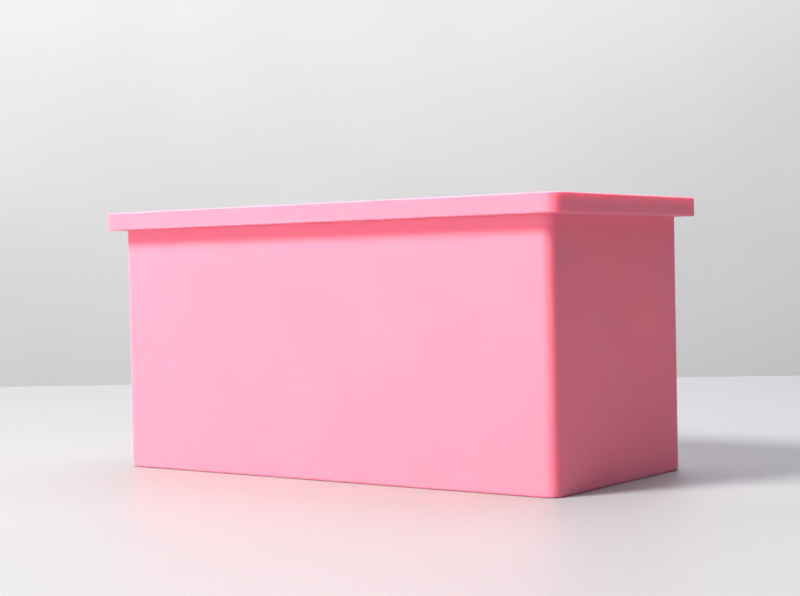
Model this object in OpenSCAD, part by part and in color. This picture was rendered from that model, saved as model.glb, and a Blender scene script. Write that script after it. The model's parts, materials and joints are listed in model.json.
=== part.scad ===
// Soap loaf mould: one thick flexible moulding, open at the top, with a flat overhanging rim.
// A closed loop of steel rod runs inside the rim and keeps it straight when the mould is full.
// Origin: centre of the underside. +X runs along the loaf, +Y to the back long side, +Z up.

/* [Tub] */
// Length of the body below the rim
body_l = 189; // [150:1:230]
// Width of the body below the rim
body_w = 86; // [70:1:110]
// Height from the underside to the top of the rim
total_h = 96; // [70:1:120]
// Thickness of the four walls
wall_t = 5; // [4.5:0.5:8]
// Thickness of the floor
floor_t = 5; // [4:0.5:10]
// Outside radius of the body's upright corners
body_r = 4; // [2:0.5:8]
// Inside radius of the cavity's upright corners and of the cove around its floor
cavity_r = 4; // [2:0.5:6]

/* [Rim] */
// How far the rim stands out beyond the walls, on all four sides
rim_overhang = 5.5; // [5:0.5:9]
// Thickness of the rim
rim_t = 6.4; // [6:0.1:9]
// Outside radius of the rim's corners
rim_r = 5; // [3:0.5:9]

/* [Rim frame] */
// Diameter of the steel rod inside the rim
rod_d = 2.5; // [2:0.1:3]
// Distance from the rim's outer edge to the middle of the rod
rod_inset = 3.2; // [3:0.1:4]
// Bend radius at the middle of the rod
bend_r = 6; // [4:0.5:8]
// Gap between the two ends of the rod, inside the sleeve
end_gap = 1; // [0.5:0.1:3]
// Outside diameter of the sleeve over the rod's ends
sleeve_d = 3.9; // [3.6:0.1:4.4]
// Length of the sleeve
sleeve_l = 16; // [10:1:30]

/* [Pin holes] */
// Diameter of the holes left by the pins that carry the frame during moulding
pin_d = 1.6; // [1.2:0.1:2]
// Distance between neighbouring pin holes along a long side
pin_pitch = 70; // [40:1:70]

/* [Hidden] */
$fn = 96;
// Air left around the steel, so that the pieces stay separate solids
fit = 0.1;
// Overlap of a cutting shape past the face it cuts through
cut = 1;
rim_l = body_l + 2 * rim_overhang;
rim_w = body_w + 2 * rim_overhang;
rim_z = total_h - rim_t;
cavity_l = body_l - 2 * wall_t;
cavity_w = body_w - 2 * wall_t;
rod_z = total_h - rim_t / 2;
// Length and width of the loop, measured between the middles of the rod
loop_l = rim_l - 2 * rod_inset;
loop_w = rim_w - 2 * rod_inset;

// Flat outline of a rectangle with round corners, centred on the origin
module round_rect(l, w, r) {
    square([l, w - 2 * r], center = true);
    square([l - 2 * r, w], center = true);
    for (x = [-1, 1], y = [-1, 1])
        translate([x * (l / 2 - r), y * (w / 2 - r)]) circle(r);
}

// The loaf's own space: upright sides with round corners, and a round cove down to the floor
module loaf_space() {
    r = cavity_r;
    translate([0, 0, floor_t + r])
        linear_extrude(total_h - floor_t - r + cut) round_rect(cavity_l, cavity_w, r);
    translate([0, 0, floor_t])
        linear_extrude(2 * r) square([cavity_l - 2 * r, cavity_w - 2 * r], center = true);
    for (s = [-1, 1]) {
        translate([0, s * (cavity_w / 2 - r), floor_t + r])
            rotate([0, 90, 0]) cylinder(h = cavity_l - 2 * r, r = r, center = true);
        translate([s * (cavity_l / 2 - r), 0, floor_t + r])
            rotate([90, 0, 0]) cylinder(h = cavity_w - 2 * r, r = r, center = true);
        for (t = [-1, 1])
            translate([s * (cavity_l / 2 - r), t * (cavity_w / 2 - r), floor_t + r]) sphere(r);
    }
}

// A round bar of diameter d bent into the frame's loop, with a gap in the back long side
module bent_loop(d, gap) {
    straight_l = loop_l - 2 * bend_r;
    straight_w = loop_w - 2 * bend_r;
    back_l = (straight_l - gap) / 2;
    translate([0, -loop_w / 2, rod_z])
        rotate([0, 90, 0]) cylinder(h = straight_l, d = d, center = true);
    for (s = [-1, 1]) {
        translate([s * loop_l / 2, 0, rod_z])
            rotate([90, 0, 0]) cylinder(h = straight_w, d = d, center = true);
        translate([s * (gap + back_l) / 2, loop_w / 2, rod_z])
            rotate([0, 90, 0]) cylinder(h = back_l, d = d, center = true);
    }
    for (i = [0:3])
        translate([(i == 0 || i == 3 ? 1 : -1) * straight_l / 2, (i < 2 ? 1 : -1) * straight_w / 2, rod_z])
            rotate([0, 0, 90 * i])
                rotate_extrude(angle = 90) translate([bend_r, 0]) circle(d = d);
}

// Places its child at each pin hole, on the middle of the rod: three a long side, one an end
module at_pins() {
    for (s = [-1, 1]) {
        for (i = [-1:1]) translate([i * pin_pitch, s * loop_w / 2, rod_z]) children();
        translate([s * loop_l / 2, 0, rod_z]) children();
    }
}

// Floor, walls and rim in one moulding, hollow where the steel lies
module silicone_tub() {
    color([0.97, 0.66, 0.75]) difference() {
        union() {
            linear_extrude(total_h - rim_t / 2) round_rect(body_l, body_w, body_r);
            translate([0, 0, rim_z]) linear_extrude(rim_t) round_rect(rim_l, rim_w, rim_r);
        }
        loaf_space();
        bent_loop(rod_d + 2 * fit, 0);
        translate([0, loop_w / 2, rod_z])
            rotate([0, 90, 0]) cylinder(h = sleeve_l + 2 * fit, d = sleeve_d + 2 * fit, center = true);
        at_pins() translate([0, 0, -rim_t / 2 - cut]) cylinder(h = rim_t / 2 + cut, d = pin_d);
    }
}

// Steel rod bent into a flat rectangle, its two ends meeting in the middle of the back side
module rim_frame() {
    color([0.72, 0.73, 0.75]) bent_loop(rod_d, end_gap);
}

// Short tube over the rod's two ends
module frame_sleeve() {
    color([0.60, 0.61, 0.63])
        translate([0, loop_w / 2, rod_z]) rotate([0, 90, 0]) difference() {
            cylinder(h = sleeve_l, d = sleeve_d, center = true);
            cylinder(h = sleeve_l + 2 * cut, d = rod_d + 2 * fit, center = true);
        }
}

silicone_tub();
rim_frame();
frame_sleeve();
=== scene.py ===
import json
import math

import bmesh
import bpy
from bpy.props import FloatProperty, FloatVectorProperty, IntProperty, PointerProperty
from mathutils import Matrix, Vector, noise


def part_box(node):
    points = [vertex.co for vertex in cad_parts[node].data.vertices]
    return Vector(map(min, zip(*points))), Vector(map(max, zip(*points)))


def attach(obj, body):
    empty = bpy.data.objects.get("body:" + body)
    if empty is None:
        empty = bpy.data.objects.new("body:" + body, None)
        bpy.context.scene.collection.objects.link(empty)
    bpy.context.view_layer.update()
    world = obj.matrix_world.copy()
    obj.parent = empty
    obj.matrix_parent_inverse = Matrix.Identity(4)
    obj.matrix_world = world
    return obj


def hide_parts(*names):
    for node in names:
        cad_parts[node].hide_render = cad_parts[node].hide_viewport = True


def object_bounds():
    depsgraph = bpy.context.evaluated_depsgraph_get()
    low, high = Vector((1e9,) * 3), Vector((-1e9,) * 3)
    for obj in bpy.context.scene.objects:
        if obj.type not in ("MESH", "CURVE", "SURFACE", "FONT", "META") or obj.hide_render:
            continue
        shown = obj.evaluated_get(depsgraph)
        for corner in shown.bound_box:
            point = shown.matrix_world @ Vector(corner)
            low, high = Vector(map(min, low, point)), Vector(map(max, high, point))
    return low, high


# A soap loaf mould: one thick silicone moulding, open at the top, with a steel rod frame inside
# its rim. All lengths are in metres, +X along the loaf, +Z up, origin under the middle of the base.
bl_info = {
    "name": "Soap loaf mould",
    "version": (1, 0, 0),
    "blender": (4, 5, 0),
    "location": "View3D > Sidebar > Loaf Mould",
    "description": "Builds a silicone soap loaf mould, the steel frame in its rim, and a plain stage",
    "category": "Add Mesh",
}

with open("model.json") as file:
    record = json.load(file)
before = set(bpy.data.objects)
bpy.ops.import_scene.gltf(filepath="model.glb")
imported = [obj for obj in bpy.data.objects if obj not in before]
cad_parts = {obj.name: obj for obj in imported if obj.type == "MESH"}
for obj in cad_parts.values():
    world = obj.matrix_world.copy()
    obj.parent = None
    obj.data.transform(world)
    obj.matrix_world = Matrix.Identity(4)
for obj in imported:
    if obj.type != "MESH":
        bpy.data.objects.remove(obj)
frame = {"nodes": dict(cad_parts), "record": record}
CAD_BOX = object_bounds()
TUB_LOW, TUB_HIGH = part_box("silicone_tub")
ROD_LOW, ROD_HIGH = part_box("rim_frame")
SLEEVE_LOW, SLEEVE_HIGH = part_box("frame_sleeve")
MOUNTS = {mount["name"]: Vector(mount["pos_m"]) for mount in frame["record"]["mounts"]}


def half_outline(node, height):
    """Half length and half width of a CAD node at one height where it has corner points."""
    near = 1e-5
    level = [v.co for v in frame["nodes"][node].data.vertices if abs(v.co.z - height) < near]
    return Vector((max(abs(c.x) for c in level), max(abs(c.y) for c in level)))


# ---------------------------------------------------------------- settings


class TubSettings(bpy.types.PropertyGroup):
    """Sizes of the silicone moulding that the frame's boxes don't give."""

    wall: FloatProperty(
        name="Wall", description="Thickness of the four walls", default=0.005, unit="LENGTH")
    floor: FloatProperty(
        name="Floor", description="Thickness of the floor", default=0.005, unit="LENGTH")
    body_corner: FloatProperty(
        name="Body corner", description="Radius of the body's upright corners",
        default=0.004, unit="LENGTH")
    rim_corner: FloatProperty(
        name="Rim corner", description="Radius of the rim's corners", default=0.005, unit="LENGTH")
    cavity_corner: FloatProperty(
        name="Cavity corner", description="Radius of the cavity's upright corners",
        default=0.004, unit="LENGTH")
    cove: FloatProperty(
        name="Cove", description="Radius between the cavity's walls and its floor",
        default=0.0035, unit="LENGTH")
    edge_round: FloatProperty(
        name="Edge rounding", description="Radius on the rim's top edges", default=0.00035,
        unit="LENGTH", precision=5)
    lip_round: FloatProperty(
        name="Lip rounding", description="Radius on the rim's lower outer edge", default=0.0003,
        unit="LENGTH")
    base_round: FloatProperty(
        name="Base rounding", description="Radius round the underside", default=0.0008, unit="LENGTH")
    root_fillet: FloatProperty(
        name="Root fillet", description="Hollow radius where the wall meets the rim",
        default=0.0006, unit="LENGTH")
    bow: FloatProperty(
        name="Wall bow", description="How far the long walls lean in at half length",
        default=0.0002, unit="LENGTH")
    ripple: FloatProperty(
        name="Ripple", description="Depth of the soft unevenness of cured silicone",
        default=0.00005, unit="LENGTH")
    ripple_span: FloatProperty(
        name="Ripple span", description="Distance between neighbouring swells",
        default=0.035, unit="LENGTH")
    cell: FloatProperty(
        name="Cell", description="Largest spacing of the mesh's rows", default=0.003, unit="LENGTH")
    edge_row: FloatProperty(
        name="Edge row", description="Distance from an edge to the first row beside it",
        default=0.0004, unit="LENGTH", precision=5)
    arc_steps: IntProperty(
        name="Arc steps", description="Faces across a rounded edge", default=6, min=3, max=16)
    corner_steps: IntProperty(
        name="Corner steps", description="Faces round an upright corner, an even number",
        default=12, min=4, max=32)


class SiliconeSettings(bpy.types.PropertyGroup):
    """Colour, finish and translucency of the silicone."""

    pigment: FloatVectorProperty(
        name="Pigment", description="Main colour", subtype="COLOR", size=4, min=0, max=1,
        default=(0.90, 0.235, 0.331, 1.0))
    pigment_deep: FloatVectorProperty(
        name="Deep pigment", description="Colour where more pigment has gathered", subtype="COLOR",
        size=4, min=0, max=1, default=(0.89, 0.227, 0.321, 1.0))
    # Lighter colour for the convex edges: partly wear, partly a painted highlight.
    worn_and_highlit_edges: FloatVectorProperty(
        name="Edge wear and highlight", description="Colour of edges worn by handling and lightened as painted highlight", subtype="COLOR",
        size=4, min=0, max=1, default=(0.94, 0.27, 0.37, 1.0))
    dust: FloatVectorProperty(
        name="Dust", description="Colour of settled dust and lint", subtype="COLOR",
        size=4, min=0, max=1, default=(0.80, 0.70, 0.69, 1.0))
    roughness: FloatProperty(
        name="Roughness", description="Roughness of the satin skin", default=0.50, subtype="FACTOR")
    glow: FloatProperty(
        name="Translucency", description="Share of the light that travels under the skin",
        default=1.0, subtype="FACTOR")
    glow_depth: FloatProperty(
        name="Light depth", description="How far red light travels under the skin",
        default=0.004, unit="LENGTH")
    grain: FloatProperty(
        name="Grain", description="Size of the skin's grain", default=0.00035, unit="LENGTH")
    grain_depth: FloatProperty(
        name="Grain depth", description="Depth of the skin's grain", default=0.000012, unit="LENGTH")


class FrameSettings(bpy.types.PropertyGroup):
    """Sizes and finish of the steel frame inside the rim."""

    bend: FloatProperty(
        name="Bend radius", description="Bend radius at the middle of the rod",
        default=0.006, unit="LENGTH")
    end_gap: FloatProperty(
        name="End gap", description="Gap between the rod's two ends", default=0.001, unit="LENGTH")
    air: FloatProperty(
        name="Air", description="Gap kept round the steel", default=0.0001, unit="LENGTH",
        precision=5)
    pin_diameter: FloatProperty(
        name="Pin diameter", description="Diameter of the pin holes under the rim",
        default=0.0016, unit="LENGTH")
    pin_pitch: FloatProperty(
        name="Pin pitch", description="Distance between pin holes along a long side",
        default=0.07, unit="LENGTH")
    crimp: FloatProperty(
        name="Crimp", description="Depth of the dents pressed into the sleeve",
        default=0.00025, unit="LENGTH", precision=5)
    steel: FloatVectorProperty(
        name="Steel", description="Colour of the drawn rod", subtype="COLOR", size=4, min=0, max=1,
        default=(0.62, 0.62, 0.63, 1.0))
    sleeve_steel: FloatVectorProperty(
        name="Sleeve steel", description="Colour of the turned sleeve", subtype="COLOR", size=4,
        min=0, max=1, default=(0.50, 0.50, 0.52, 1.0))


class StageSettings(bpy.types.PropertyGroup):
    """Table, wall, lights and camera."""

    azimuth: FloatProperty(
        name="Azimuth", description="Direction of the camera, from the front towards +X",
        default=math.radians(36.49), subtype="ANGLE")
    elevation: FloatProperty(
        name="Elevation", description="Downward tilt of the camera", default=math.radians(1.06),
        subtype="ANGLE")
    roll: FloatProperty(
        name="Roll", description="Roll of the camera", default=math.radians(-1.15), subtype="ANGLE")
    distance: FloatProperty(
        name="Distance", description="From the aim point to the camera", default=0.6137,
        unit="LENGTH")
    aim: FloatVectorProperty(
        name="Aim", description="Point that the camera looks at, from the middle of the base",
        default=(0.0021, 0.0018, 0.0623), subtype="XYZ", unit="LENGTH")
    lens: FloatProperty(
        name="Lens", description="Focal length in millimetres", default=75.3)
    table_far: FloatProperty(
        name="Table edge", description="Distance of the table's far edge", default=0.467,
        unit="LENGTH")
    table_turn: FloatProperty(
        name="Table turn", description="Turn of the table's far edge from the X axis",
        default=math.radians(31.4), subtype="ANGLE")
    wall_far: FloatProperty(
        name="Wall", description="Distance of the wall behind the table", default=1.2,
        unit="LENGTH")
    table_colour: FloatVectorProperty(
        name="Table colour", description="Colour of the table top", subtype="COLOR", size=4,
        min=0, max=1, default=(0.305, 0.31, 0.332, 1.0))
    table_roughness: FloatProperty(
        name="Table roughness", description="Roughness of the table top", default=0.52,
        subtype="FACTOR")
    wall_roughness: FloatProperty(
        name="Wall roughness", description="Roughness of the wall", default=0.8, subtype="FACTOR")
    wall_colour: FloatVectorProperty(
        name="Wall colour", description="Colour of the wall", subtype="COLOR", size=4,
        min=0, max=1, default=(0.48, 0.485, 0.505, 1.0))
    key_side: FloatProperty(
        name="Key side", description="Direction of the key light, from the front towards -X",
        default=math.radians(25.0), subtype="ANGLE")
    key_height: FloatProperty(
        name="Key height", description="Height of the key light above the horizon",
        default=math.radians(45.0), subtype="ANGLE")
    key_distance: FloatProperty(
        name="Key distance", description="From the mould to the key light", default=1.8,
        unit="LENGTH")
    key_size: FloatProperty(
        name="Key size", description="Diameter of the key light", default=0.56, unit="LENGTH")
    key_power: FloatProperty(
        name="Key power", description="Power of the key light in watts", default=72.0)
    key_colour: FloatVectorProperty(
        name="Key colour", description="Colour of the key light", subtype="COLOR", min=0, max=1,
        default=(1.0, 0.985, 0.895))
    fill_colour: FloatVectorProperty(
        name="Fill colour", description="Colour of the low panels", subtype="COLOR",
        min=0, max=1, default=(0.96, 0.90, 1.0))
    front_power: FloatProperty(
        name="Front panel", description="Power of the low panel in front, in watts", default=11.0)
    right_power: FloatProperty(
        name="Right panel", description="Power of the low panel on the right, in watts", default=1.0)
    overhead_power: FloatProperty(
        name="Overhead light", description="Power of the soft light overhead, in watts", default=6.0)
    overhead_colour: FloatVectorProperty(
        name="Overhead colour", description="Colour of the soft light overhead", subtype="COLOR",
        min=0, max=1, default=(1.0, 0.94, 0.94))
    back_power: FloatProperty(
        name="Back panel", description="Power of the high soft panel behind, in watts", default=14.0)
    wall_light_colour: FloatVectorProperty(
        name="Wall light colour", description="Colour of the lights on the wall", subtype="COLOR",
        min=0, max=1, default=(0.945, 0.965, 1.0))
    wall_power: FloatProperty(
        name="Wall light", description="Power of the light above the wall, in watts", default=8.4)
    wash_power: FloatProperty(
        name="Wall corner light", description="Power of the light at the wall's left, in watts",
        default=2.5)
    room_colour: FloatVectorProperty(
        name="Room colour", description="Colour of the room's even light", subtype="COLOR",
        min=0, max=1, default=(0.94, 0.94, 0.96))
    room: FloatProperty(
        name="Room light", description="Strength of the even light of the room", default=0.1)
    backdrop: FloatProperty(
        name="Backdrop", description="Brightness of the room seen past the table", default=0.75)


class LoafMouldSettings(bpy.types.PropertyGroup):
    """All settings of the mould and its stage."""

    tub: PointerProperty(type=TubSettings)
    silicone: PointerProperty(type=SiliconeSettings)
    steel_frame: PointerProperty(type=FrameSettings)
    stage: PointerProperty(type=StageSettings)


# ---------------------------------------------------------------- node helpers


def add_node(tree, kind, inputs=None, **settings):
    """Adds a node, sets its settings, and sets or links the named inputs."""
    made = tree.nodes.new(kind)
    for key, value in settings.items():
        setattr(made, key, value)
    for key, value in (inputs or {}).items():
        if isinstance(value, bpy.types.NodeSocket):
            tree.links.new(value, made.inputs[key])
        else:
            made.inputs[key].default_value = value
    return made


def maths(tree, operation, a, b=0.0, c=0.0, clamp=False):
    """One Math node; returns its output."""
    return add_node(
        tree, "ShaderNodeMath", {0: a, 1: b, 2: c}, operation=operation, use_clamp=clamp,
    ).outputs[0]


def ramp(tree, value, low, high):
    """Turns value into 0 at low and 1 at high, with soft ends; returns the output."""
    return add_node(
        tree, "ShaderNodeMapRange",
        {"Value": value, "From Min": low, "From Max": high}, interpolation_type="SMOOTHSTEP",
    ).outputs["Result"]


def mix_colour(tree, share, a, b):
    """Mixes two colours; returns the output."""
    made = tree.nodes.new("ShaderNodeMix")
    made.data_type = "RGBA"
    sockets = {s.identifier: s for s in made.inputs}
    for key, value in (("Factor_Float", share), ("A_Color", a), ("B_Color", b)):
        if isinstance(value, bpy.types.NodeSocket):
            tree.links.new(value, sockets[key])
        else:
            sockets[key].default_value = value
    return next(s for s in made.outputs if s.identifier == "Result_Color")


def noise_at(tree, place, size, detail=2.0, roughness=0.5):
    """Noise whose features are about size metres apart; returns its value."""
    if isinstance(size, bpy.types.NodeSocket):
        scale = maths(tree, "DIVIDE", 1.0, size)
    else:
        scale = 1.0 / size
    return add_node(
        tree, "ShaderNodeTexNoise",
        {"Vector": place, "Scale": scale, "Detail": detail, "Roughness": roughness},
    ).outputs["Fac"]


def new_group(name, inputs, outputs):
    """A shader node group with named sockets; returns it with its input and output nodes."""
    group = bpy.data.node_groups.new(name, "ShaderNodeTree")
    for label, kind, default in inputs:
        socket = group.interface.new_socket(label, in_out="INPUT", socket_type=kind)
        socket.default_value = default
    for label, kind in outputs:
        group.interface.new_socket(label, in_out="OUTPUT", socket_type=kind)
    return group, add_node(group, "NodeGroupInput"), add_node(group, "NodeGroupOutput")


def use_group(tree, builder, inputs):
    """Places in a material the node group that builder makes, which is made only once."""
    group = getattr(builder, "group", None)
    if group is None:
        group = builder()
        builder.group = group
    return add_node(tree, "ShaderNodeGroup", inputs, node_tree=group)


def spread_about(tree, value, middle, spread):
    """Turns noise round 0.5 into a value that varies by spread round middle; returns the output."""
    return maths(tree, "MULTIPLY_ADD", value, spread, middle - spread / 2)


COLOUR, FLOAT = "NodeSocketColor", "NodeSocketFloat"
GREY = (0.5, 0.5, 0.5, 1.0)


def cloud_group():
    """Cloudy change between two close colours, as pigment or oxide lies unevenly."""
    group, source, sink = new_group(
        "Pigment clouds",
        [("Colour", COLOUR, GREY), ("Deep Colour", COLOUR, GREY), ("Cloud Size", FLOAT, 0.03)],
        [("Colour", COLOUR), ("Cloud", FLOAT)])
    place = add_node(group, "ShaderNodeTexCoord").outputs["Object"]
    cloud = noise_at(group, place, source.outputs["Cloud Size"], detail=3.0)
    share = ramp(group, cloud, 0.35, 0.65)
    colour = mix_colour(group, share, source.outputs["Colour"], source.outputs["Deep Colour"])
    group.links.new(colour, sink.inputs["Colour"])
    group.links.new(share, sink.inputs["Cloud"])
    return group


def grain_group():
    """Fine even grain of a moulded or worked skin: a height in metres and a share for gloss."""
    group, source, sink = new_group(
        "Skin grain",
        [("Grain Size", FLOAT, 0.0004), ("Grain Depth", FLOAT, 0.00001)],
        [("Height", FLOAT), ("Grain", FLOAT)])
    place = add_node(group, "ShaderNodeTexCoord").outputs["Object"]
    fine = noise_at(group, place, source.outputs["Grain Size"], roughness=0.6)
    wide_size, wide_height = 9.0, 1.4
    wide = noise_at(
        group, place, maths(group, "MULTIPLY", source.outputs["Grain Size"], wide_size))
    both = maths(group, "MULTIPLY_ADD", wide, wide_height, fine)
    group.links.new(
        maths(group, "MULTIPLY", both, source.outputs["Grain Depth"]), sink.inputs["Height"])
    group.links.new(fine, sink.inputs["Grain"])
    return group


def dust_group():
    """Dust and lint: a thin film on faces that look up, and rare flecks on every face."""
    group, source, sink = new_group(
        "Settled dust",
        [("Colour", COLOUR, GREY), ("Dust Colour", COLOUR, GREY), ("Film", FLOAT, 0.1),
         ("Flecks", FLOAT, 0.5), ("Fleck Size", FLOAT, 0.004)],
        [("Colour", COLOUR), ("Dust", FLOAT)])
    patch_size = 0.018
    place = add_node(group, "ShaderNodeTexCoord").outputs["Object"]
    normal = add_node(group, "ShaderNodeNewGeometry").outputs["Normal"]
    slope = add_node(group, "ShaderNodeSeparateXYZ", {0: normal}).outputs["Z"]
    up = ramp(group, slope, 0.35, 0.95)
    patches = ramp(group, noise_at(group, place, patch_size, detail=4.0), 0.3, 0.75)
    film = maths(
        group, "MULTIPLY", maths(group, "MULTIPLY", up, patches), source.outputs["Film"])
    spots = add_node(
        group, "ShaderNodeTexVoronoi",
        {"Vector": place, "Scale": maths(group, "DIVIDE", 1.0, source.outputs["Fleck Size"])},
        feature="F1")
    near = maths(group, "SUBTRACT", 1.0, ramp(group, spots.outputs["Distance"], 0.02, 0.06))
    chance = add_node(group, "ShaderNodeSeparateColor", {0: spots.outputs["Color"]}).outputs[0]
    few = ramp(group, chance, 0.90, 0.91)
    flecks = maths(
        group, "MULTIPLY", maths(group, "MULTIPLY", near, few), source.outputs["Flecks"])
    dust = maths(group, "ADD", film, flecks, clamp=True)
    colour = mix_colour(group, dust, source.outputs["Colour"], source.outputs["Dust Colour"])
    group.links.new(colour, sink.inputs["Colour"])
    group.links.new(dust, sink.inputs["Dust"])
    return group


def wear_and_highlight_group():
    """Worn outer edges with a painted highlight: convex edges get the lighter colour, broken up so that
    no edge is worn or lit evenly.
    """
    group, source, sink = new_group(
        "Edge wear and painted highlight",
        [("Colour", COLOUR, GREY), ("Wear And Highlight Colour", COLOUR, GREY), ("Amount", FLOAT, 0.5)],
        [("Colour", COLOUR), ("Wear And Highlight Share", FLOAT)])
    patch_size = 0.012
    place = add_node(group, "ShaderNodeTexCoord").outputs["Object"]
    bend = add_node(group, "ShaderNodeNewGeometry").outputs["Pointiness"]
    # Pointiness finds the convex edges. Their lighter colour is partly wear and partly a painted
    # highlight.
    edge = ramp(group, bend, 0.505, 0.56)
    uneven = ramp(group, noise_at(group, place, patch_size, detail=4.0), 0.3, 0.7)
    wear_and_highlight_share = maths(group, "MULTIPLY", maths(group, "MULTIPLY", edge, uneven), source.outputs["Amount"])
    colour = mix_colour(group, wear_and_highlight_share, source.outputs["Colour"], source.outputs["Wear And Highlight Colour"])
    group.links.new(colour, sink.inputs["Colour"])
    group.links.new(wear_and_highlight_share, sink.inputs["Wear And Highlight Share"])
    return group


def new_material(name):
    """An empty material with its output; returns the material, its tree and the output node."""
    material = bpy.data.materials.new(name)
    material.use_nodes = True
    tree = material.node_tree
    tree.nodes.clear()
    return material, tree, add_node(tree, "ShaderNodeOutputMaterial")


def shade_of(colour, factor):
    """A darker or lighter tone of a colour."""
    return tuple(min(1.0, factor * c) for c in colour[:3]) + (1.0,)


def silicone_material(settings):
    """Pink translucent silicone: clouded pigment, satin grain, worn edges lightened partly as a painted
    highlight, a little dust.
    """
    material, tree, output = new_material("pink_silicone")
    clouds = use_group(tree, cloud_group, {
        "Colour": settings.pigment, "Deep Colour": settings.pigment_deep, "Cloud Size": 0.03})
    # Lighter convex edges: partly wear, partly a painted highlight.
    worn_and_highlit_edges = use_group(tree, wear_and_highlight_group, {
        "Colour": clouds.outputs["Colour"], "Wear And Highlight Colour": settings.worn_and_highlit_edges, "Amount": 0.6})
    dusty = use_group(tree, dust_group, {
        "Colour": worn_and_highlit_edges.outputs["Colour"], "Dust Colour": settings.dust,
        "Film": 0.10, "Flecks": 0.35, "Fleck Size": 0.006})
    skin = use_group(tree, grain_group, {
        "Grain Size": settings.grain, "Grain Depth": settings.grain_depth})
    gloss = spread_about(tree, skin.outputs["Grain"], settings.roughness, 0.10)
    dust_dulling = 0.3
    worn = maths(tree, "MULTIPLY_ADD", dusty.outputs["Dust"], dust_dulling, gloss)
    relief = add_node(
        tree, "ShaderNodeBump", {"Height": skin.outputs["Height"], "Distance": 1.0})
    shader = add_node(tree, "ShaderNodeBsdfPrincipled", {
        "Base Color": dusty.outputs["Colour"], "Roughness": worn, "IOR": 1.41,
        "Specular IOR Level": 0.3,
        "Subsurface Weight": settings.glow, "Subsurface Radius": (0.65, 0.25, 0.36),
        "Subsurface Scale": settings.glow_depth, "Normal": relief.outputs["Normal"]})
    tree.links.new(shader.outputs["BSDF"], output.inputs["Surface"])
    return material


def steel_material(name, colour, roughness, line_stretch):
    """Worked stainless steel: drawn or turned lines laid by the piece's own UV map."""
    material, tree, output = new_material(name)
    clouds = use_group(tree, cloud_group, {
        "Colour": colour, "Deep Colour": shade_of(colour, 0.8), "Cloud Size": 0.008})
    worn_and_highlit_edges = use_group(tree, wear_and_highlight_group, {
        "Colour": clouds.outputs["Colour"], "Wear And Highlight Colour": shade_of(colour, 1.25), "Amount": 0.8})
    uv = add_node(tree, "ShaderNodeTexCoord").outputs["UV"]
    stretched = add_node(
        tree, "ShaderNodeMapping", {"Vector": uv, "Scale": line_stretch}).outputs["Vector"]
    lines = noise_at(tree, stretched, 1.0, detail=3.0, roughness=0.6)
    line_depth = 0.000008
    relief = add_node(tree, "ShaderNodeBump", {
        "Height": maths(tree, "MULTIPLY", lines, line_depth), "Distance": 1.0})
    shader = add_node(tree, "ShaderNodeBsdfPrincipled", {
        "Base Color": worn_and_highlit_edges.outputs["Colour"],
        "Roughness": spread_about(tree, lines, roughness, 0.22), "Metallic": 1.0,
        "Normal": relief.outputs["Normal"]})
    tree.links.new(shader.outputs["BSDF"], output.inputs["Surface"])
    return material


# ---------------------------------------------------------------- mesh helpers


def new_piece(name, bm, material):
    """Turns a bmesh into a smooth-shaded object with one material."""
    bmesh.ops.recalc_face_normals(bm, faces=bm.faces)
    mesh = bpy.data.meshes.new(name)
    bm.to_mesh(mesh)
    bm.free()
    mesh.shade_smooth()
    if material:
        mesh.materials.append(material)
    piece = bpy.data.objects.new(name, mesh)
    bpy.context.scene.collection.objects.link(piece)
    return piece


def stations(length, cell, hold):
    """Fractions along a straight side: a close row near each end, the rest at most cell apart."""
    steps = max(2, math.ceil((length - 2 * hold) / cell))
    near = hold / length
    return [near + (1 - 2 * near) * i / steps for i in range(steps + 1)]


def ring(half, corner, z, sides, corner_steps):
    """Points round a rectangle with rounded corners at height z, counter-clockwise."""
    points = []
    signs = ((1, -1), (1, 1), (-1, 1), (-1, -1))
    middles = [Vector((sx * (half.x - corner), sy * (half.y - corner), z)) for sx, sy in signs]
    for i, middle in enumerate(middles):
        start = math.radians(90 * (i - 1))
        arc = []
        for k in range(corner_steps + 1):
            angle = start + math.radians(90) * k / corner_steps
            arc.append(middle + corner * Vector((math.cos(angle), math.sin(angle), 0)))
        points += arc
        across = Vector((math.cos(start + math.pi / 2), math.sin(start + math.pi / 2), 0))
        next_start = middles[(i + 1) % 4] + corner * across
        points += [arc[-1].lerp(next_start, t) for t in sides[(i + 1) % 2]]
    return points


def arc_path(centre, radius, start, end, steps):
    """Points of an arc in the section plane, as (offset, height) pairs; angles in degrees."""
    points = []
    for k in range(steps + 1):
        angle = math.radians(start + (end - start) * k / steps)
        points.append((centre[0] + radius * math.cos(angle), centre[1] + radius * math.sin(angle)))
    return points


def straight_path(start, end, cell, hold):
    """Points strictly between two section points, close to both ends and cell apart between."""
    length = math.dist(start, end)
    return [
        (start[0] + (end[0] - start[0]) * t, start[1] + (end[1] - start[1]) * t)
        for t in stations(length, cell, min(hold, length / 4))]


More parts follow.
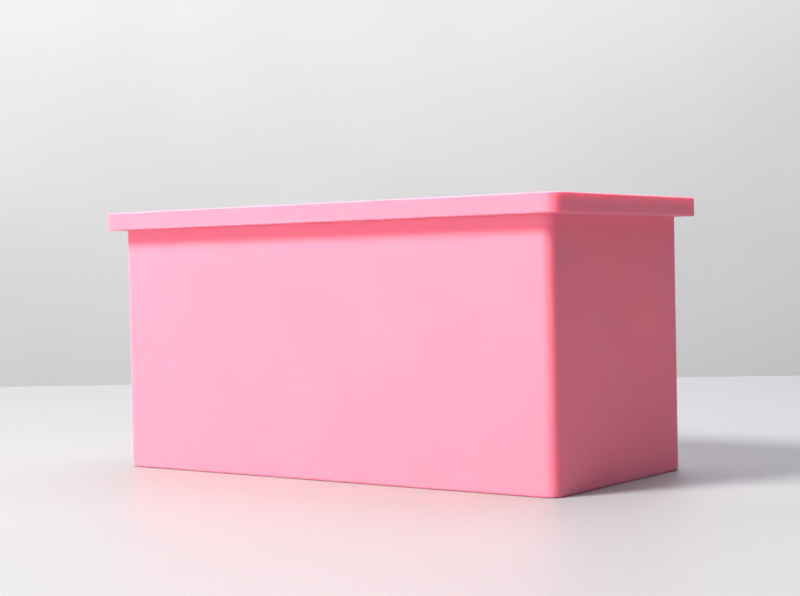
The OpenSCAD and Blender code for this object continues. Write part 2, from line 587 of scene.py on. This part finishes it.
def fill_patch(bm, loop, corner_steps, sides):
    """Closes a ring with a grid of quads that follows the ring's own rows."""
    half_corner = corner_steps // 2
    order = loop[half_corner:] + loop[:half_corner]
    short = len(sides[1]) + 1 + corner_steps
    long = len(sides[0]) + 1 + corner_steps
    right = order[:short + 1]
    back = order[short:short + long + 1]
    left = order[short + long:2 * short + long + 1]
    front = order[2 * short + long:] + order[:1]
    back, left = back[::-1], left[::-1]
    rows = []
    for j in range(short + 1):
        v = j / short
        row = []
        for i in range(long + 1):
            u = i / long
            if j == 0:
                row.append(front[i])
            elif j == short:
                row.append(back[i])
            elif i == 0:
                row.append(left[j])
            elif i == long:
                row.append(right[j])
            else:
                place = (front[i].co * (1 - v) + back[i].co * v
                         + left[j].co * (1 - u) + right[j].co * u
                         - front[0].co * (1 - u) * (1 - v) - front[-1].co * u * (1 - v)
                         - back[0].co * (1 - u) * v - back[-1].co * u * v)
                row.append(bm.verts.new(place))
        rows.append(row)
    for low, high in zip(rows, rows[1:]):
        for i in range(long):
            bm.faces.new((low[i], low[i + 1], high[i + 1], high[i]))


def skin_rings(bm, rings):
    """Joins neighbouring rings with quads; returns the rings' vertices."""
    made = [[bm.verts.new(p) for p in points] for points in rings]
    for low, high in zip(made, made[1:]):
        for i in range(len(low)):
            j = (i + 1) % len(low)
            bm.faces.new((low[i], low[j], high[j], high[i]))
    return made


def cut_away(piece, cutter):
    """Takes cutter out of piece for good, and removes the cutter."""
    change = piece.modifiers.new("cut", "BOOLEAN")
    change.operation = "DIFFERENCE"
    change.solver = "EXACT"
    change.object = cutter
    bpy.context.view_layer.update()
    graph = bpy.context.evaluated_depsgraph_get()
    whole = piece.data
    piece.data = bpy.data.meshes.new_from_object(piece.evaluated_get(graph))
    piece.modifiers.clear()
    bpy.data.meshes.remove(whole)
    bpy.data.meshes.remove(cutter.data)
    piece.data.name = piece.name


def check_closed(piece):
    """Raises an error unless every edge of the piece's mesh has exactly two faces."""
    bm = bmesh.new()
    bm.from_mesh(piece.data)
    loose = [e for e in bm.edges if len(e.link_faces) != 2]
    bm.free()
    if loose:
        raise RuntimeError(f"{piece.name} is not closed: {len(loose)} open edges")


# ---------------------------------------------------------------- the steel frame


def loop_path(bend, gap, cell):
    """Middle line of the rod: from one side of the gap on the back long side round to the other."""
    rod = (ROD_HIGH.z - ROD_LOW.z) / 2
    half = Vector((ROD_HIGH.x - rod, ROD_HIGH.y - rod))
    z = (ROD_LOW.z + ROD_HIGH.z) / 2
    bend_steps = 12
    points = [Vector((-gap / 2, half.y, z))]
    for i, (sx, sy) in enumerate(((-1, 1), (-1, -1), (1, -1), (1, 1))):
        middle = Vector((sx * (half.x - bend), sy * (half.y - bend), z))
        start = math.radians(90 * (i + 1))
        arc = []
        for k in range(bend_steps + 1):
            angle = start + math.radians(90) * k / bend_steps
            arc.append(middle + bend * Vector((math.cos(angle), math.sin(angle), 0)))
        points += straight_points(points[-1], arc[0], cell) + arc
    end = Vector((gap / 2, half.y, z))
    return points + straight_points(points[-1], end, cell) + [end]


def straight_points(start, end, cell):
    """Points strictly between start and end, about cell apart."""
    steps = max(1, round((end - start).length / cell))
    return [start.lerp(end, k / steps) for k in range(1, steps)]


def sweep(path, radius, sides, closed, end_round=0.0):
    """A round bar along a level path, with a UV map of turns round and metres along."""
    bm = bmesh.new()
    uv = bm.loops.layers.uv.new("UVMap")
    count = len(path)
    stops = []
    along = 0.0
    for i, point in enumerate(path):
        before = path[i - 1] if i or closed else point
        after = path[(i + 1) % count] if i + 1 < count or closed else point
        stops.append((point, (after - before).normalized(), radius, along))
        along += (after - point).length
    if not closed:
        # Each end narrows in two steps, so that its edge is rounded.
        shrink = 0.3 * end_round
        first, last = stops[0], stops[-1]
        stops[0] = (first[0] + first[1] * end_round, first[1], radius, end_round)
        stops[-1] = (last[0] - last[1] * end_round, last[1], radius, last[3] - end_round)
        stops.insert(0, (first[0] + first[1] * shrink, first[1], radius - shrink, shrink))
        stops.insert(0, (first[0], first[1], radius - end_round, 0.0))
        stops.append((last[0] - last[1] * shrink, last[1], radius - shrink, last[3] - shrink))
        stops.append((last[0], last[1], radius - end_round, last[3]))
    rings = []
    for point, ahead, r, _ in stops:
        side = Vector((-ahead.y, ahead.x, 0))
        turn = [2 * math.pi * k / sides for k in range(sides)]
        rings.append([
            bm.verts.new(point + r * (math.cos(a) * side + math.sin(a) * Vector((0, 0, 1))))
            for a in turn])
    pairs = list(zip(range(len(rings)), range(1, len(rings))))
    if closed:
        pairs.append((len(rings) - 1, 0))
    for i, j in pairs:
        low, high = stops[i][3], stops[j][3] if j else along
        for k in range(sides):
            m = (k + 1) % sides
            face = bm.faces.new((rings[i][k], rings[i][m], rings[j][m], rings[j][k]))
            values = ((k / sides, low), ((k + 1) / sides, low),
                      ((k + 1) / sides, high), (k / sides, high))
            for corner, value in zip(face.loops, values):
                corner[uv].uv = value
    if not closed:
        for end in (rings[0], rings[-1]):
            middle = bm.verts.new(sum((v.co for v in end), Vector()) / sides)
            for k in range(sides):
                bm.faces.new((end[k], end[(k + 1) % sides], middle))
    return bm


def turned_bar(start, length, radius, sides):
    """A plain closed bar along X, for cutting."""
    end = start + Vector((length, 0, 0))
    return sweep([start, end], radius, sides, closed=False, end_round=radius * 0.02)


def pin_places(settings):
    """Places of the pin holes on the rod's middle line: three a long side and one an end."""
    rod = (ROD_HIGH.z - ROD_LOW.z) / 2
    half = Vector((ROD_HIGH.x - rod, ROD_HIGH.y - rod))
    places = []
    for side in (-1, 1):
        places += [Vector((i * settings.pin_pitch, side * half.y, 0)) for i in (-1, 0, 1)]
        places.append(Vector((side * half.x, 0, 0)))
    return places


def frame_cutters(settings):
    """The hollow that the steel lies in and the pin holes that lead to it, as separate cutters."""
    rod = (ROD_HIGH.z - ROD_LOW.z) / 2
    sleeve = (SLEEVE_HIGH.z - SLEEVE_LOW.z) / 2
    middle = (ROD_LOW + ROD_HIGH) / 2
    path_gap, path_cell = 0.004, 0.006
    path = loop_path(settings.bend, path_gap, path_cell)
    channel = new_piece("channel", sweep(path, rod + settings.air, 20, closed=True), None)
    sleeve_y = (SLEEVE_LOW.y + SLEEVE_HIGH.y) / 2
    pocket_start = Vector((SLEEVE_LOW.x - settings.air, sleeve_y, middle.z))
    pocket_length = SLEEVE_HIGH.x - SLEEVE_LOW.x + 2 * settings.air
    pocket = new_piece(
        "pocket", turned_bar(pocket_start, pocket_length, sleeve + settings.air, 28), None)
    pins = bmesh.new()
    below = 0.001
    depth = middle.z - MOUNTS["rim_underside"].z + below
    for place in pin_places(settings):
        centre = Vector((place.x, place.y, middle.z - depth / 2))
        bmesh.ops.create_cone(
            pins, cap_ends=True, segments=20, radius1=settings.pin_diameter / 2,
            radius2=settings.pin_diameter / 2, depth=depth, matrix=Matrix.Translation(centre))
    return [channel, pocket, new_piece("pins", pins, None)]


# ---------------------------------------------------------------- the silicone tub


def tub_section(settings):
    """Rings of the moulding from the underside up the outside, over the rim and down inside.

    Each entry is (half size, corner radius, height)."""
    rim = TUB_HIGH.xy
    body = half_outline("silicone_tub", TUB_LOW.z)
    overhang = rim.x - body.x
    under, top = MOUNTS["rim_underside"].z, TUB_HIGH.z
    steps, cell, hold = settings.arc_steps, settings.cell, settings.edge_row
    edge, lip, base, root, cove = (
        settings.edge_round, settings.lip_round, settings.base_round, settings.root_fillet,
        settings.cove)
    # In the section, 0 is the body's outer skin and positive is outwards.
    inner = -settings.wall
    outside = arc_path((-base, base), base, -90, 0, steps)
    outside += straight_path((0, base), (0, under - root), cell, hold)
    outside += arc_path((root, under - root), root, 180, 90, steps)
    ledge = straight_path((root, under), (overhang - lip, under), cell / 2, hold)
    rim_edge = arc_path((overhang - lip, under + lip), lip, -90, 0, steps)
    rim_edge += straight_path((overhang, under + lip), (overhang, top - edge), cell / 2, hold)
    rim_edge += arc_path((overhang - edge, top - edge), edge, 0, 90, steps)
    flat = straight_path((overhang - edge, top), (inner + edge, top), cell / 2, hold)
    inside = arc_path((inner + edge, top - edge), edge, 90, 180, steps)
    inside += straight_path((inner, top - edge), (inner, settings.floor + cove), cell, hold)
    inside += arc_path((inner - cove, settings.floor + cove), cove, 0, -90, 2 * steps)
    rings = []
    for offset, z in outside:
        rings.append((body, offset, settings.body_corner + offset, z))
    for offset, z in ledge:
        share = offset / overhang
        corner = settings.body_corner * (1 - share) + settings.rim_corner * share
        rings.append((body, offset, corner, z))
    for offset, z in rim_edge:
        rings.append((body, offset, settings.rim_corner + offset - overhang, z))
    for offset, z in flat:
        share = (overhang - offset) / (overhang - inner)
        corner = settings.rim_corner * (1 - share) + settings.cavity_corner * share
        rings.append((body, offset, corner, z))
    for offset, z in inside:
        rings.append((body, offset, settings.cavity_corner + offset - inner, z))
    return [(half + Vector((offset, offset)), corner, z) for half, offset, corner, z in rings]


def soften(bm, settings):
    """Gives the moulding the slight bow and unevenness of silicone, kept inside the CAD box."""
    body = half_outline("silicone_tub", TUB_LOW.z)
    under = MOUNTS["rim_underside"].z
    fine_span, fine_share, elsewhere = settings.ripple_span / 2.3, 0.5, Vector((7, 3, 1))
    bm.normal_update()
    moves = {}
    for vert in bm.verts:
        place = vert.co
        height = min(max(place.z / under, 0.0), 1.0)
        along = 1 - (place.x / body.x) ** 2
        lean = settings.bow * max(along, 0.0) * math.sin(math.pi * height)
        swell = noise.noise(place / settings.ripple_span)
        swell += fine_share * noise.noise(place / fine_span + elsewhere)
        moved = place + vert.normal * swell * settings.ripple
        moved.y -= lean * place.y / body.y
        for axis in range(3):
            moved[axis] = min(max(moved[axis], TUB_LOW[axis]), TUB_HIGH[axis])
        moves[vert] = moved
    for vert, moved in moves.items():
        vert.co = moved


def build_tub(settings, frame_settings, material):
    """The one-piece moulding, hollow where the steel lies."""
    section = tub_section(settings)
    body = half_outline("silicone_tub", TUB_LOW.z)
    sides = tuple(
        stations(2 * (half - settings.body_corner), settings.cell, settings.edge_row)
        for half in body)
    bm = bmesh.new()
    rings = skin_rings(bm, [
        ring(half, corner, z, sides, settings.corner_steps) for half, corner, z in section])
    fill_patch(bm, rings[0], settings.corner_steps, sides)
    fill_patch(bm, rings[-1], settings.corner_steps, sides)
    soften(bm, settings)
    tub = new_piece("tub_moulding", bm, material)
    for cutter in frame_cutters(frame_settings):
        cut_away(tub, cutter)
    tub.data.set_sharp_from_angle(angle=math.radians(50))
    check_closed(tub)
    return tub


def build_sleeve(settings, material):
    """Short tube with rounded mouths and two rows of pressed dents."""
    outer = (SLEEVE_HIGH.z - SLEEVE_LOW.z) / 2
    bore = (ROD_HIGH.z - ROD_LOW.z) / 2 + settings.air
    length = SLEEVE_HIGH.x - SLEEVE_LOW.x
    middle = (SLEEVE_LOW + SLEEVE_HIGH) / 2
    lip, sides, rows = 0.0002, 48, 48
    dent_width, dents_round = 0.0011, 4
    profile = [(-length / 2, bore + lip), (-length / 2, outer - lip),
               (-length / 2 + 0.3 * lip, outer - 0.3 * lip)]
    run = length - 2 * lip
    profile += [(-run / 2 + run * k / rows, outer) for k in range(rows + 1)]
    profile += [(length / 2 - 0.3 * lip, outer - 0.3 * lip), (length / 2, outer - lip),
                (length / 2, bore + lip), (length / 2 - lip, bore), (-length / 2 + lip, bore)]
    bm = bmesh.new()
    uv = bm.loops.layers.uv.new("UVMap")
    rings = []
    for x, radius in profile:
        points = []
        for k in range(sides):
            angle = 2 * math.pi * k / sides
            dent = 0.0
            if radius > bore + lip:
                band = sum(
                    math.exp(-(((x - s * length / 4) / dent_width) ** 2)) for s in (-1, 1))
                dent = settings.crimp * band * max(0.0, math.cos(dents_round * angle)) ** 2
            r = radius - dent
            points.append(bm.verts.new(
                middle + Vector((x, r * math.cos(angle), r * math.sin(angle)))))
        rings.append(points)
    count = len(rings)
    for i in range(count):
        j = (i + 1) % count
        for k in range(sides):
            m = (k + 1) % sides
            face = bm.faces.new((rings[i][k], rings[i][m], rings[j][m], rings[j][k]))
            values = ((k / sides, i / count), ((k + 1) / sides, i / count),
                      ((k + 1) / sides, (i + 1) / count), (k / sides, (i + 1) / count))
            for corner, value in zip(face.loops, values):
                corner[uv].uv = value
    return new_piece("crimped_sleeve", bm, material)


# ---------------------------------------------------------------- operators


class LOAFMOULD_OT_stage(bpy.types.Operator):
    """Make the table, the wall, the lights and the camera"""

    bl_idname = "loaf_mould.stage"
    bl_label = "Stage"

    def execute(self, context):
        settings = context.scene.loaf_mould.stage
        build_table(settings)
        build_wall(settings)
        build_lights(settings)
        build_camera(settings)
        return {"FINISHED"}


def stage_material(name, colour, speck, roughness):
    """Plain painted surface with a faint unevenness."""
    material, tree, output = new_material(name)
    clouds = use_group(tree, cloud_group, {
        "Colour": colour, "Deep Colour": shade_of(colour, 0.96), "Cloud Size": 0.25})
    skin = use_group(tree, grain_group, {"Grain Size": speck, "Grain Depth": 0.00001})
    relief = add_node(
        tree, "ShaderNodeBump", {"Height": skin.outputs["Height"], "Distance": 1.0})
    shader = add_node(tree, "ShaderNodeBsdfPrincipled", {
        "Base Color": clouds.outputs["Colour"], "Roughness": roughness,
        "Normal": relief.outputs["Normal"]})
    tree.links.new(shader.outputs["BSDF"], output.inputs["Surface"])
    return material


def turned(settings, x, y, z):
    """A point given along and across the table's far edge, in the row frame."""
    return Matrix.Rotation(settings.table_turn, 3, "Z") @ Vector((x, y, z))


def build_table(settings):
    """A wide slab whose far edge lies behind the mould."""
    wide, near, thick, edge = 1.3, -1.6, 0.03, 0.003
    bm = bmesh.new()
    bmesh.ops.create_cube(bm, size=1.0)
    for vert in bm.verts:
        x, y, z = vert.co
        vert.co = turned(
            settings, 2 * wide * x,
            settings.table_far if y > 0 else near,
            0.0 if z > 0 else -thick)
    edges = [e for e in bm.edges if all(v.co.z > -thick / 2 for v in e.verts)]
    bmesh.ops.bevel(bm, geom=edges, offset=edge, segments=4, affect="EDGES", profile=0.5)
    table = new_piece("table", bm, stage_material(
        "table_paint", settings.table_colour, 0.0008, settings.table_roughness))
    table.data.set_sharp_from_angle(angle=math.radians(30))


def build_wall(settings):
    """A plain wall parallel to the table's far edge."""
    wide, low, high = 6.0, -1.5, 4.0
    bm = bmesh.new()
    corners = [(-wide, low), (wide, low), (wide, high), (-wide, high)]
    bm.faces.new([bm.verts.new(turned(settings, x, settings.wall_far, z)) for x, z in corners])
    wall = new_piece("wall", bm, stage_material(
        "wall_paint", settings.wall_colour, 0.002, settings.wall_roughness))


def area_light(name, size, power, colour, place, target):
    """A lit panel at place that faces target: a disk, or a rectangle where size has two values."""
    light = bpy.data.lights.new(name, "AREA")
    light.energy, light.color, light.size = power, colour, size[0]
    light.shape = "DISK" if len(size) == 1 else "RECTANGLE"
    if len(size) == 2:
        light.size_y = size[1]
    lamp = bpy.data.objects.new(name, light)
    lamp.location = place
    lamp.rotation_mode = "QUATERNION"
    lamp.rotation_quaternion = (target - place).to_track_quat("-Z", "Y")
    bpy.context.scene.collection.objects.link(lamp)


def around(side, height, distance):
    """A point at a distance from the mould; side turns from the front towards +X, in radians."""
    level = math.cos(height)
    towards = Vector((math.sin(side) * level, -math.cos(side) * level, math.sin(height)))
    return (CAD_BOX[0] + CAD_BOX[1]) / 2 + distance * towards


def build_lights(settings):
    """A key light, soft panels in front, to the right, above and behind, and two lights on the wall."""
    centre = (CAD_BOX[0] + CAD_BOX[1]) / 2
    front = around(math.radians(-10), math.radians(6), 1.6)
    right = around(math.radians(80), math.radians(4), 1.3)
    above = centre + Vector((0, 0.1, 1.25))
    behind = centre + Vector((0.2, 0.9, 1.5))
    wall_light, wall_middle = ((0.0, 0.80, 1.2), (0.0, settings.wall_far, 0.4))
    corner_light, wall_corner = ((-1.1, 0.70, 1.1), (-0.5, settings.wall_far, 0.45))
    area_light(
        "key", (settings.key_size,), settings.key_power, settings.key_colour,
        around(-settings.key_side, settings.key_height, settings.key_distance), centre)
    fill, on_wall = settings.fill_colour, settings.wall_light_colour
    area_light("front_panel", (2.0, 0.5), settings.front_power, fill, front, centre)
    area_light("right_panel", (1.2, 0.5), settings.right_power, fill, right, centre)
    area_light(
        "wall_light", (1.6, 0.4), settings.wall_power, on_wall,
        turned(settings, *wall_light), turned(settings, *wall_middle))
    area_light(
        "wall_corner_light", (0.7, 0.5), settings.wash_power, on_wall,
        turned(settings, *corner_light), turned(settings, *wall_corner))
    area_light(
        "overhead", (0.7, 0.7), settings.overhead_power, settings.overhead_colour, above, centre)
    area_light("back_panel", (1.8, 1.2), settings.back_power, fill, behind, centre)
    build_room(settings)
    bpy.context.scene.view_settings.view_transform = "Standard"


def build_room(settings):
    """Faint even light from all sides; what shows of the room past the table is pale."""
    world = bpy.data.worlds.new("room")
    world.use_nodes = True
    tree = world.node_tree
    tree.nodes.clear()
    seen = add_node(tree, "ShaderNodeLightPath").outputs["Is Camera Ray"]
    strength = add_node(tree, "ShaderNodeMapRange", {
        "Value": seen, "To Min": settings.room, "To Max": settings.backdrop})
    background = add_node(tree, "ShaderNodeBackground", {
        "Color": (*settings.room_colour, 1.0), "Strength": strength.outputs["Result"]})
    output = add_node(tree, "ShaderNodeOutputWorld")
    tree.links.new(background.outputs["Background"], output.inputs["Surface"])
    bpy.context.scene.world = world


def build_camera(settings):
    """An almost level camera, a little below the rim, that sees the front and the right end."""
    azimuth, elevation = settings.azimuth, settings.elevation
    back = Vector((math.sin(azimuth) * math.cos(elevation),
                   -math.cos(azimuth) * math.cos(elevation), math.sin(elevation)))
    right = Vector((0, 0, 1)).cross(back).normalized()
    turn = Matrix.Rotation(settings.roll, 3, back)
    right = turn @ right
    up = back.cross(right)
    lens = bpy.data.cameras.new("camera")
    lens.lens = settings.lens
    camera = bpy.data.objects.new("camera", lens)
    base = Vector((0, 0, CAD_BOX[0].z))
    place = base + Vector(settings.aim) + back * settings.distance
    axes = Matrix((right, up, back)).transposed().to_4x4()
    camera.matrix_world = Matrix.Translation(place) @ axes
    bpy.context.scene.collection.objects.link(camera)
    bpy.context.scene.camera = camera


class LOAFMOULD_OT_tub(bpy.types.Operator):
    """Make the silicone moulding: floor, walls and rim in one piece"""

    bl_idname = "loaf_mould.tub"
    bl_label = "Silicone tub"

    def execute(self, context):
        settings = context.scene.loaf_mould
        tub = build_tub(settings.tub, settings.steel_frame, silicone_material(settings.silicone))
        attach(tub, "root")
        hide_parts("silicone_tub")
        return {"FINISHED"}


class LOAFMOULD_OT_rod(bpy.types.Operator):
    """Make the bent steel rod inside the rim"""

    bl_idname = "loaf_mould.rod"
    bl_label = "Steel rod"

    def execute(self, context):
        settings = context.scene.loaf_mould.steel_frame
        radius, cell, end_round = (ROD_HIGH.z - ROD_LOW.z) / 2, 0.004, 0.0003
        path = loop_path(settings.bend, settings.end_gap, cell)
        material = steel_material("drawn_steel", settings.steel, 0.30, (60.0, 40.0, 1.0))
        rod = new_piece("bent_rod", sweep(path, radius, 28, False, end_round), material)
        rod.data.set_sharp_from_angle(angle=math.radians(50))
        check_closed(rod)
        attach(rod, "root")
        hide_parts("rim_frame")
        return {"FINISHED"}


class LOAFMOULD_OT_sleeve(bpy.types.Operator):
    """Make the crimped sleeve over the rod's two ends"""

    bl_idname = "loaf_mould.sleeve"
    bl_label = "Crimped sleeve"

    def execute(self, context):
        settings = context.scene.loaf_mould.steel_frame
        material = steel_material("turned_steel", settings.sleeve_steel, 0.38, (6.0, 90.0, 1.0))
        sleeve = build_sleeve(settings, material)
        sleeve.data.set_sharp_from_angle(angle=math.radians(60))
        check_closed(sleeve)
        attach(sleeve, "root")
        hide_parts("frame_sleeve")
        return {"FINISHED"}


class LOAFMOULD_PT_sidebar(bpy.types.Panel):
    """Buttons and settings in the 3D view's sidebar"""

    bl_label = "Loaf Mould"
    bl_idname = "LOAFMOULD_PT_sidebar"
    bl_space_type = "VIEW_3D"
    bl_region_type = "UI"
    bl_category = "Loaf Mould"

    def draw(self, context):
        for operator in OPERATORS:
            self.layout.operator(operator.bl_idname)
        settings = context.scene.loaf_mould
        for group in (settings.tub, settings.silicone, settings.steel_frame, settings.stage):
            box = self.layout.box()
            for name in group.__annotations__:
                box.prop(group, name)


SETTINGS = (TubSettings, SiliconeSettings, FrameSettings, StageSettings, LoafMouldSettings)
OPERATORS = (LOAFMOULD_OT_stage, LOAFMOULD_OT_tub, LOAFMOULD_OT_rod, LOAFMOULD_OT_sleeve)


def register():
    """Registers the settings, the operators and the panel."""
    for made in (*SETTINGS, *OPERATORS, LOAFMOULD_PT_sidebar):
        bpy.utils.register_class(made)
    bpy.types.Scene.loaf_mould = PointerProperty(type=LoafMouldSettings)


def unregister():
    """Removes what register added."""
    del bpy.types.Scene.loaf_mould
    for made in reversed((*SETTINGS, *OPERATORS, LOAFMOULD_PT_sidebar)):
        bpy.utils.unregister_class(made)


def main():
    register()
    bpy.ops.loaf_mould.stage()
    bpy.ops.loaf_mould.tub()
    bpy.ops.loaf_mould.rod()
    bpy.ops.loaf_mould.sleeve()


if __name__ == "__main__":
    main()
